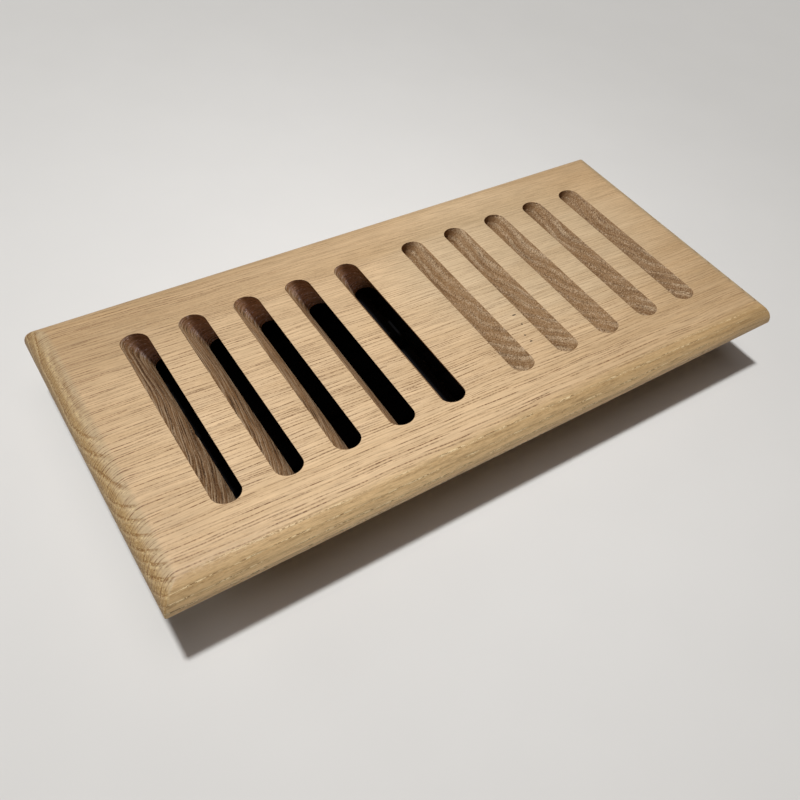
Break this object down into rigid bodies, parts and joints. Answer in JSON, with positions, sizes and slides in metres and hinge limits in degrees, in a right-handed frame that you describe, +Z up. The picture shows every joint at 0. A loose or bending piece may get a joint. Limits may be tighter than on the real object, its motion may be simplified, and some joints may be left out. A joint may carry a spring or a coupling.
{
  "type": "floor register",
  "caption": "Drop-in oak floor register: round-edged face plate with slanted air slots in two groups, over a black steel damper with linked blades and a recessed thumb lever.",
  "frame": {"origin": "under the middle of the damper, on the surface that the register stands on", "axes": "+X along the board's grain, -Y to the front, +Z up through the face"},
  "size_m": [0.3, 0.138, 0.0381],
  "materials": {
    "oak": "bare sanded white oak",
    "black_sheet": "matt black powder coat",
    "rod_steel": "blackened drawn wire",
    "rivet_steel": "black oxide",
    "screw_steel": "zinc plated",
    "nylon": "black nylon"
  },
  "bodies": {
    "register": {"face_plate": "oak", "front_rail": "black_sheet", "rear_rail": "black_sheet", "left_end_plate": "black_sheet", "right_end_plate": "black_sheet", "corner_rivets": "rivet_steel", "frame_screws": "screw_steel", "left_bushes": "nylon", "right_bushes": "nylon"},
    "vane_1": {"blade_1": "black_sheet", "pivot_rod_1": "rod_steel"},
    "vane_2": {"blade_2": "black_sheet", "pivot_rod_2": "rod_steel"},
    "vane_3": {"blade_3": "black_sheet", "pivot_rod_3": "rod_steel"},
    "vane_4": {"blade_4": "black_sheet", "pivot_rod_4": "rod_steel"},
    "vane_5": {"blade_5": "black_sheet", "pivot_rod_5": "rod_steel"},
    "vane_6": {"blade_6": "black_sheet", "pivot_rod_6": "rod_steel"},
    "linkage": {"link_bar": "black_sheet", "link_rivets": "rivet_steel", "thumb_lever": "black_sheet", "lever_rivets": "rivet_steel"}
  },
  "joints": [
    {"name": "vane_1_turn", "type": "hinge", "parent": "register", "child": "vane_1", "pos_m": [0, -0.0375, 0.0082], "axis": [1, 0, 0], "range_deg": [0, 76]},
    {"name": "vane_2_turn", "type": "hinge", "parent": "register", "child": "vane_2", "pos_m": [0, -0.0225, 0.0082], "axis": [1, 0, 0], "range_deg": [0, 76]},
    {"name": "vane_3_turn", "type": "hinge", "parent": "register", "child": "vane_3", "pos_m": [0, -0.0075, 0.0082], "axis": [1, 0, 0], "range_deg": [0, 76]},
    {"name": "vane_4_turn", "type": "hinge", "parent": "register", "child": "vane_4", "pos_m": [0, 0.0075, 0.0082], "axis": [1, 0, 0], "range_deg": [0, 76]},
    {"name": "vane_5_turn", "type": "hinge", "parent": "register", "child": "vane_5", "pos_m": [0, 0.0225, 0.0082], "axis": [1, 0, 0], "range_deg": [0, 76]},
    {"name": "vane_6_turn", "type": "hinge", "parent": "register", "child": "vane_6", "pos_m": [0, 0.0375, 0.0082], "axis": [1, 0, 0], "range_deg": [0, 76]},
    {"name": "linkage_swing", "type": "hinge", "parent": "vane_4", "child": "linkage", "pos_m": [0, 0.01136, 0.0128], "axis": [1, 0, 0], "range_deg": [-76, 0]}
  ],
  "couplings": [
    {"joint": "vane_1_turn", "follows": "vane_4_turn", "ratio": 1},
    {"joint": "vane_2_turn", "follows": "vane_4_turn", "ratio": 1},
    {"joint": "vane_3_turn", "follows": "vane_4_turn", "ratio": 1},
    {"joint": "vane_5_turn", "follows": "vane_4_turn", "ratio": 1},
    {"joint": "vane_6_turn", "follows": "vane_4_turn", "ratio": 1},
    {"joint": "linkage_swing", "follows": "vane_4_turn", "ratio": -1}
  ]
}
